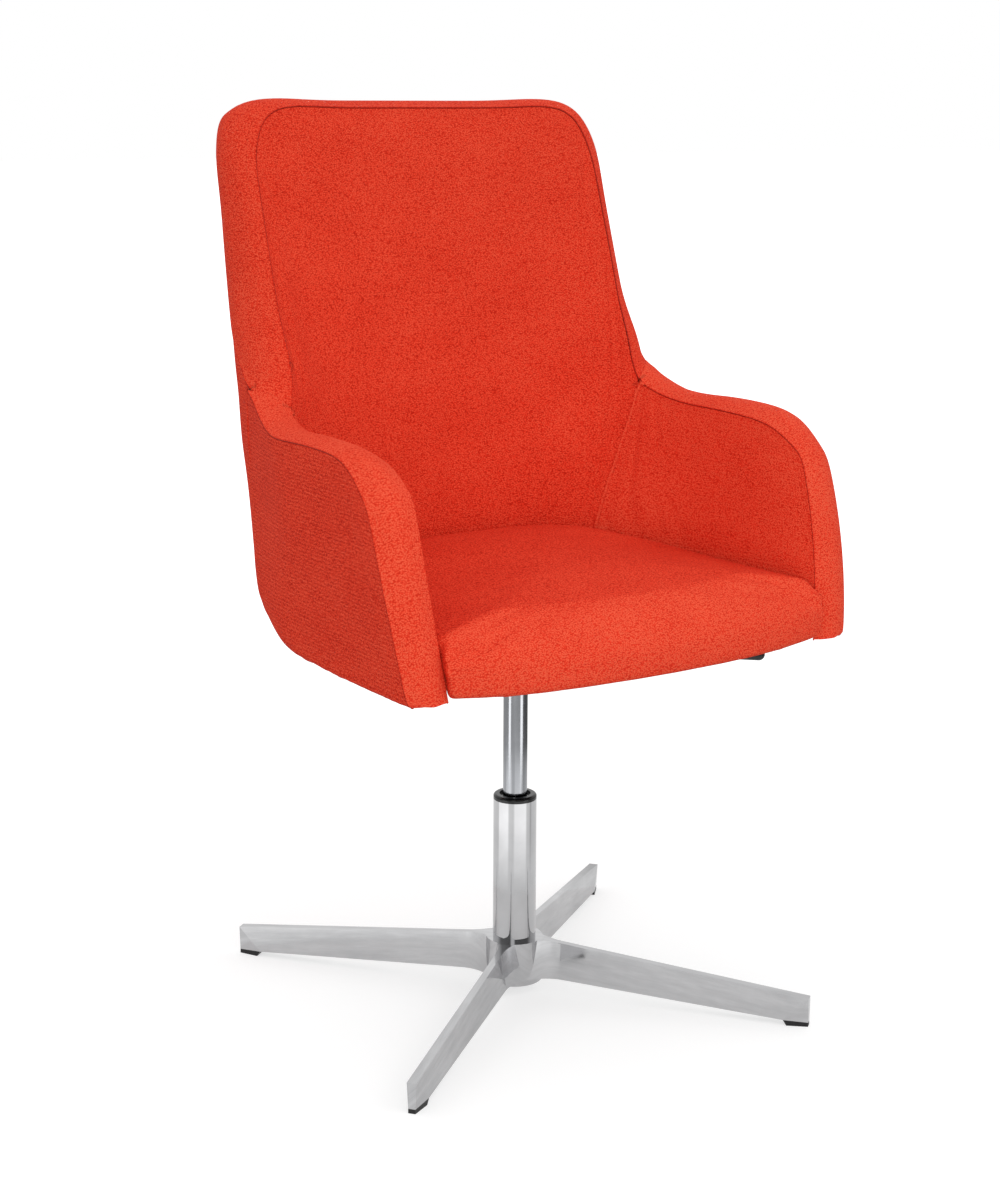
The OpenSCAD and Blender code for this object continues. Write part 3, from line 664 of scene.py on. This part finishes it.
def weave(piece, across, ribs, painted_light):
    """Gives the cloth's shader its rows, square to the direction across, and its seams.

    The ribs are the rows' strength, and the last argument is painted light: a lift of the cloth's tone
    where more light falls on it."""
    mesh = piece.data
    points = points_of(mesh)
    up = np.array(across, dtype=np.float32)
    up /= np.linalg.norm(up)
    rows = points @ up
    found = [SEAM_TREE.find(p) for p in points]
    add_values(mesh, "weave", "FLOAT_VECTOR", "vector", points + np.outer(rows, up) * 0.45)
    add_values(mesh, "rows", "FLOAT", "value", rows)
    add_values(mesh, "ribs", "FLOAT", "value", np.full(len(points), ribs))
    add_values(mesh, "painted_light", "FLOAT", "value", np.full(len(points), painted_light))
    add_values(mesh, "seam", "FLOAT", "value", [f[2] for f in found])
    add_values(mesh, "along", "FLOAT", "value", [SEAM_LENGTHS[f[1]] for f in found])


# Upholstery: each panel is a rounded, finely divided copy of its solid
RIM = 1.0 * MM
# A pad is blown up from a shape this much smaller
START_INSET = 2.5 * MM
# Its swelling fades out over this distance from its neighbours
FADE = 28 * MM
PRESSURE = 4.0
SIMULATED_FRAMES = 20
VOXEL = 5 * MM
# A panel's long upright edges are divided further where more rows are asked
LONG_EDGE = 24 * MM
UPRIGHT = 0.7
# Height of the slow waves in the outer panels' cloth and of the lumps at its folded low ends
WAVE = 1.2 * MM
LUMP = 1.5 * MM
# How far the pads may swell
ARM_SWELL = 5 * MM
BACK_SWELL = 6 * MM
CUSHION_SWELL = 7 * MM
CUSHION_LIP = 50 * MM
# Strength of the ribs, and painted light: how much each panel's cloth tone is lifted where more light falls
# on it
STRONG_RIBS = 0.14
WEAK_RIBS = 0.05
FAINT_RIBS = 0.02
ARM_PAINTED_LIGHT = 0.13
INSIDE_ARM_PAINTED_LIGHT = 0.1
BACK_BAND_PAINTED_LIGHT = 0.05
BACK_PAINTED_LIGHT = 0.03


def panel(node, name, levels, extra_rows=0):
    """A copy of a soft solid with rounded rims and fine quads."""
    shape = solid_of(node)
    bmesh.ops.bevel(
        shape, geom=sharp_edges(shape), offset=RIM, offset_type="OFFSET", segments=2,
        profile=0.5, affect="EDGES", clamp_overlap=True)
    if extra_rows:
        upright = [
            e for e in shape.edges
            if e.calc_length() > LONG_EDGE
            and abs(e.verts[0].co.z - e.verts[1].co.z) > UPRIGHT * e.calc_length()]
        bmesh.ops.subdivide_edges(shape, edges=upright, cuts=extra_rows, use_grid_fill=True)
    piece = object_of(name, shape, CLOTH)
    subdivide(piece, levels)
    return piece


def finish_cloth(piece, node, across, ribs, painted_light=0.0):
    """The last shaping of a panel, its cloth, its attachment to the seat, and the hiding of the solid it
    stands for.
    """
    fit_corners(piece)
    weave(piece, across, ribs, painted_light)
    turn_into_seams(piece)
    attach(piece, "seat")
    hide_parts(node)


def room_round(piece, node):
    """Each point's distance to the nearest other solid of the seat."""
    others = tree_of([nodes[n].data for n in frame["record"]["behaviour"]["bodies"]["seat"] if n != node])
    return np.array([others.find_nearest(p)[3] for p in points_of(piece.data)])


def simulate(piece, held):
    """Blows the cloth up over some frames, with the held points fixed."""
    group = piece.vertex_groups.new(name="held")
    for index in np.nonzero(held > 0.01)[0]:
        group.add([int(index)], float(held[index]), "REPLACE")
    cloth = piece.modifiers.new("swell", "CLOTH")
    settings = cloth.settings
    settings.quality = 5
    settings.mass = 0.3
    settings.tension_stiffness = 15
    settings.compression_stiffness = 15
    settings.shear_stiffness = 8
    settings.bending_stiffness = 0.5
    settings.use_pressure = True
    settings.uniform_pressure_force = PRESSURE
    settings.vertex_group_mass = "held"
    settings.effector_weights.gravity = 0
    cloth.collision_settings.use_collision = False
    cloth.point_cache.frame_start = 1
    cloth.point_cache.frame_end = SIMULATED_FRAMES
    for number in range(1, SIMULATED_FRAMES + 1):
        scene.frame_set(number)
    apply_all(piece)
    piece.vertex_groups.clear()
    scene.frame_set(1)


def eased(share):
    share = np.clip(share, 0, 1)
    return share * share * (3 - 2 * share)


def swell(piece, node, most, lip=0.0):
    """Makes a padded form: the cloth swells where it is free and stays put beside its neighbours.

    A lip of that height at the low end stays put too."""
    mesh = piece.data
    start = points_of(mesh)
    free = eased(room_round(piece, node) / FADE)
    if lip:
        free = free * eased((start[:, 2] - start[:, 2].min()) / lip - 0.3)
        solid = tree_of([nodes[node].data])
        near = np.array([solid.find_nearest(p)[0] for p in start])
        start = start + (near - start) * (1 - free)[:, None]
    start = start - normals_of(mesh) * (START_INSET * free)[:, None]
    move_points(mesh, start)
    simulate(piece, np.clip(1 - free * 4, 0, 1))
    step = points_of(piece.data) - start
    length = np.maximum(np.linalg.norm(step, axis=1), 1e-9)
    share = np.minimum(1, most * free / length)
    move_points(piece.data, start + step * share[:, None])


def undulate(piece, height, spacing):
    """Slow swells of a hand-stretched cloth, which fade out at the seams."""
    mesh = piece.data
    points = points_of(mesh)
    amounts = [
        height * noise.noise(Vector(p) / spacing) * min(1, SEAM_TREE.find(p)[2] / (30 * MM))
        for p in points]
    move_points(mesh, points + normals_of(mesh) * np.array(amounts)[:, None])


def pucker_low_end(piece, height):
    """Soft lumps where the cloth is folded under at the shell's lower edge."""
    mesh = piece.data
    points = points_of(mesh)
    low = points[:, 2].min()
    for point in points:
        fade = max(0.0, 1 - (point[2] - low) / (14 * MM))
        lump = noise.noise(Vector((point[0], point[1], 0)) / (13 * MM))
        point[2] += height * fade * (0.5 + lump)
    move_points(mesh, points)


def make_arm(side, level, bent_forward):
    node = "outside_arm_" + side
    piece = panel(node, "outside_arm_panel_" + side, 2)
    undulate(piece, WAVE, 70 * MM)
    pucker_low_end(piece, LUMP)
    finish_cloth(piece, node, level, STRONG_RIBS)

    node = "border_arm_" + side
    piece = panel(node, "border_arm_band_" + side, 2)
    pucker_low_end(piece, LUMP)
    finish_cloth(piece, node, bent_forward, WEAK_RIBS, ARM_PAINTED_LIGHT)

    node = "inside_arm_" + side
    piece = panel(node, "inside_arm_pad_" + side, 2)
    swell(piece, node, ARM_SWELL)
    finish_cloth(piece, node, level, WEAK_RIBS, INSIDE_ARM_PAINTED_LIGHT)


def make_cushion(bent_forward):
    piece = panel("seat_cushion", "seat_cushion_pad", 2)
    modify(piece, "REMESH", mode="VOXEL", voxel_size=VOXEL, use_smooth_shade=True)
    modify(piece, "SMOOTH", factor=0.5, iterations=4)
    swell(piece, "seat_cushion", CUSHION_SWELL, lip=CUSHION_LIP)
    subdivide(piece, 1)
    # Painted light: the cushion's tone is lifted where it faces the front, where more light falls
    facing_front = eased(-1.4 * normals_of(piece.data)[:, 1])
    finish_cloth(piece, "seat_cushion", bent_forward, 0.0, ARM_PAINTED_LIGHT * facing_front)


def make_upholstery():
    level = (0, 0, 1)
    bent_forward = (0, 1, 1)
    piece = panel("outside_back", "outside_back_panel", 2)
    undulate(piece, WAVE, 90 * MM)
    finish_cloth(piece, "outside_back", level, STRONG_RIBS)

    for side in ("left", "right"):
        make_arm(side, level, bent_forward)

    piece = panel("border_back_roll", "border_back_band", 2)
    finish_cloth(piece, "border_back_roll", level, WEAK_RIBS, BACK_BAND_PAINTED_LIGHT)

    piece = panel("inside_back", "inside_back_pad", 2, extra_rows=1)
    swell(piece, "inside_back", BACK_SWELL)
    finish_cloth(piece, "inside_back", level, FAINT_RIBS, BACK_PAINTED_LIGHT)

    make_cushion(bent_forward)


# Underside: the dust cover, stretched over the board's underside and held by staples
COVER_ANGLES = 180
COVER_RINGS = 12
# The sheet lies this far under the board, ends this far inside its solid, and sags between
COVER_BELOW = 0.4 * MM
COVER_TRIM = 0.5 * MM
SAG_EVEN = 1.2 * MM
SAG_UNEVEN = 1.6 * MM
SAG_SPACING = 38 * MM
STAPLE_INSET = 9 * MM
STAPLE_PITCH = 45 * MM
WIRE_RADIUS = 0.5 * MM
# A staple's bends: millimetres along it and down from the cover
STAPLE_BENDS = ((-5, -0.5), (-5, 0.7), (-4.4, 1.3), (4.4, 1.3), (5, 0.7), (5, -0.5))


def outline_of_cover():
    """The cover's outer corners in order round the column, and half the side of its opening."""
    top = max(v.co.z for v in nodes["dust_cover"].data.vertices)
    level = [v.co for v in nodes["dust_cover"].data.vertices if top - v.co.z < 0.1 * MM]
    half = min(max(abs(p.x), abs(p.y)) for p in level)
    outer = {(round(p.x, 6), round(p.y, 6)) for p in level if max(abs(p.x), abs(p.y)) > half + MM}
    return sorted(outer, key=lambda p: math.atan2(p[1], p[0])), half


def reach(outline, turn):
    """Distance from the column to the outline in one direction."""
    dx, dy = math.cos(turn), math.sin(turn)
    for (ax, ay), (bx, by) in zip(outline, outline[1:] + outline[:1]):
        ex, ey = bx - ax, by - ay
        cross = dx * ey - dy * ex
        if abs(cross) < 1e-12:
            continue
        distance = (ax * ey - ay * ex) / cross
        share = (ax * dy - ay * dx) / cross
        if distance > 0 and -1e-9 <= share <= 1 + 1e-9:
            return distance
    return 0.0


def make_dust_cover():
    outline, half = outline_of_cover()
    low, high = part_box("dust_cover")
    face = high[2] - COVER_BELOW
    points, faces = [], []
    for k in range(COVER_ANGLES):
        turn = 2 * math.pi * k / COVER_ANGLES
        inner = half / max(abs(math.cos(turn)), abs(math.sin(turn)))
        outer = reach(outline, turn) - COVER_TRIM
        for j in range(COVER_RINGS + 1):
            t = j / COVER_RINGS
            r = inner + (outer - inner) * t
            x, y = r * math.cos(turn), r * math.sin(turn)
            slack = math.sin(math.pi * t)
            drop = slack * (SAG_EVEN + SAG_UNEVEN * abs(noise.noise(Vector((x, y, 0.3)) / SAG_SPACING)))
            points.append(Vector((x, y, face - drop)))
    per = COVER_RINGS + 1
    for k in range(COVER_ANGLES):
        for j in range(COVER_RINGS):
            a, b = k * per + j, (k + 1) % COVER_ANGLES * per + j
            faces.append((a, a + 1, b + 1, b))
    piece = object_from("dust_cover_sheet", points, faces, LOOKS["dust_cloth"])
    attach(piece, "seat")
    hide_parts("dust_cover")
    make_staples(outline, face)


def make_staples(outline, face):
    """Wire staples round the cover's edge, each a low bridge."""
    path = [Vector((x, y, 0)) for x, y in outline]
    run = spline(path + path[:1], MM)
    points, faces = [], []
    gone = 0.0
    for a, b in zip(run, run[1:]):
        gone += (b - a).length
        if gone < STAPLE_PITCH:
            continue
        gone = 0.0
        ahead = (b - a).normalized()
        middle = a - a.normalized() * STAPLE_INSET
        wire = [middle + ahead * s * MM + Vector((0, 0, face - h * MM)) for s, h in STAPLE_BENDS]
        more, skin = tube(wire, lambda i: WIRE_RADIUS)
        faces.extend(tuple(len(points) + i for i in one) for one in skin)
        points.extend(more)
    piece = object_from("cover_staples", points, faces, LOOKS["steel"])
    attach(piece, "seat")


# Studio
FLOOR_SIZE = 60.0
MIDDLE = (0, 0, 0.6)
# The floor's own white under the chair and far off, and in mirrors
FLOOR_NEAR = 0.6
FLOOR_FAR = 1.0
FLOOR_MIRRORED = 0.35
WORLD_LIGHT = 0.92
# Name, place, size in metres and power in watts
LAMPS = (
    ("key", (1.3, -2.6, 2.4), (1.5, 1.5), 9),
    ("front_fill", (-1.3, -2.2, 0.7), (1.2, 1.2), 13))


def lit_white(s, near, far, mirrored):
    """Emission that only the camera and reflections see; it rises from near to far off."""
    path = s.add("ShaderNodeLightPath")
    distance = s.add("ShaderNodeVectorMath", operation="LENGTH")
    s.link(s.place(), distance.inputs[0])
    strength = s.span(distance.outputs["Value"], 0.7, 2.4, near, far)
    seen = s.math("MULTIPLY", path.outputs["Is Camera Ray"], strength)
    in_mirrors = s.math("MAXIMUM", path.outputs["Is Glossy Ray"], path.outputs["Is Transmission Ray"])
    seen = s.math("MAXIMUM", seen, s.math("MULTIPLY", in_mirrors, mirrored))
    s.set(Emission_Color=(1, 1, 1, 1))
    s.link(seen, s.surface.inputs["Emission Strength"])


def add_floor():
    bpy.ops.mesh.primitive_plane_add(size=FLOOR_SIZE, location=(0, 0, 0))
    floor = bpy.context.object
    floor.name = "floor"
    s = Shader("floor_paint")
    s.set(Base_Color=(0.5, 0.5, 0.5, 1), Roughness=0.9, Specular_IOR_Level=0.0)
    lit_white(s, FLOOR_NEAR, FLOOR_FAR, FLOOR_MIRRORED)
    floor.data.materials.append(s.material)


def add_world():
    world = bpy.data.worlds.new("studio")
    scene.world = world
    world.use_nodes = True
    tree = world.node_tree
    background = tree.nodes["Background"]
    background.inputs["Color"].default_value = (1, 1, 1, 1)
    path = tree.nodes.new("ShaderNodeLightPath")
    seen = path.outputs["Is Camera Ray"]
    for kind in ("Is Glossy Ray", "Is Transmission Ray"):
        either = tree.nodes.new("ShaderNodeMath")
        either.operation = "MAXIMUM"
        tree.links.new(seen, either.inputs[0])
        tree.links.new(path.outputs[kind], either.inputs[1])
        seen = either.outputs[0]
    strength = tree.nodes.new("ShaderNodeMapRange")
    strength.inputs["To Min"].default_value = WORLD_LIGHT
    strength.inputs["To Max"].default_value = 1.0
    tree.links.new(seen, strength.inputs["Value"])
    tree.links.new(strength.outputs["Result"], background.inputs["Strength"])


def area_light(name, place, size, power):
    data = bpy.data.lights.new(name, "AREA")
    data.shape = "RECTANGLE"
    data.size = size[0]
    data.size_y = size[1]
    data.energy = power
    light = bpy.data.objects.new(name, data)
    light.location = place
    direction = Vector(MIDDLE) - Vector(place)
    light.rotation_euler = direction.to_track_quat("-Z", "Y").to_euler()
    light.visible_camera = False
    light.visible_glossy = False
    scene.collection.objects.link(light)


# A light tent with a floor of its own, which only reflections see. Turns are in degrees from the
# side of the photograph's camera, towards the right of the picture; each band has its brightness.
TENT_SEGMENTS = 240
WALL_BANDS = [
    (-180, 0.5), (-80, 0.5), (-68, 0.3), (-64, 2.4), (-46, 2.4), (-42, 0.55), (-10, 0.65), (46, 0.55),
    (50, 2.4), (70, 2.4), (75, 0.2), (110, 0.12), (150, 0.16), (180, 0.5)]
FAR_BANDS = [
    (-180, 0.85), (-96, 0.85), (-90, 1.4), (-38, 1.5), (-30, 0.95), (-8, 0.9), (0, 1.3), (58, 1.4),
    (66, 0.85), (82, 0.8), (90, 0.5), (100, 0.75), (180, 0.85)]
DARK_BANDS = [
    (-180, 0.9), (-100, 0.7), (-75, 0.2), (-22, 0.15), (-14, 0.9), (-2, 0.9), (6, 0.15), (75, 0.15),
    (100, 0.6), (180, 0.9)]
EVEN_BANDS = [(-180, 0.8), (180, 0.8)]
# Radius, height and bands of each of the tent's rings, from the floor's middle outwards and up
TENT_RINGS = [
    (0.36, 0.002, EVEN_BANDS), (0.62, 0.002, FAR_BANDS), (0.85, 0.002, FAR_BANDS),
    (1.0, 0.002, WALL_BANDS), (1.1, 0.01, WALL_BANDS), (1.1, 0.12, WALL_BANDS),
    (1.1, 0.2, DARK_BANDS), (1.1, 0.75, DARK_BANDS), (1.1, 1.3, FAR_BANDS)]


def band_level(bands, turn):
    for (a, low), (b, high) in zip(bands, bands[1:]):
        if a <= turn <= b:
            return low + (high - low) * (turn - a) / (b - a)
    return bands[0][1]


def add_tent():
    start = math.atan2(CAMERA_AT.y, CAMERA_AT.x)
    points, faces, levels = [], [], []
    rings = len(TENT_RINGS)
    for k in range(TENT_SEGMENTS):
        turn = 360 * k / TENT_SEGMENTS
        x, y = math.cos(start + math.radians(turn)), math.sin(start + math.radians(turn))
        for radius, height, bands in TENT_RINGS:
            points.append(Vector((radius * x, radius * y, height)))
            levels.append(band_level(bands, turn if turn <= 180 else turn - 360))
        for j in range(rings - 1):
            a, b = k * rings + j, (k + 1) % TENT_SEGMENTS * rings + j
            faces.append((a, a + 1, b + 1, b))
    s = Shader("tent_cloth")
    s.set(Base_Color=(0, 0, 0, 1), Specular_IOR_Level=0.0, Emission_Color=(1, 1, 1, 1))
    s.link(s.attribute("level"), s.surface.inputs["Emission Strength"])
    s.material.cycles.emission_sampling = "NONE"
    tent = object_from("light_tent", points, faces, s.material)
    add_values(tent.data, "level", "FLOAT", "value", levels)
    tent.visible_camera = False
    tent.visible_diffuse = False
    tent.visible_shadow = False
    tent.visible_transmission = False


def add_studio():
    add_floor()
    add_world()
    add_tent()
    for lamp in LAMPS:
        area_light(*lamp)


add_camera()
dress_frame()
make_upholstery()
sew()
make_dust_cover()
add_studio()
scene.view_settings.view_transform = "Standard"
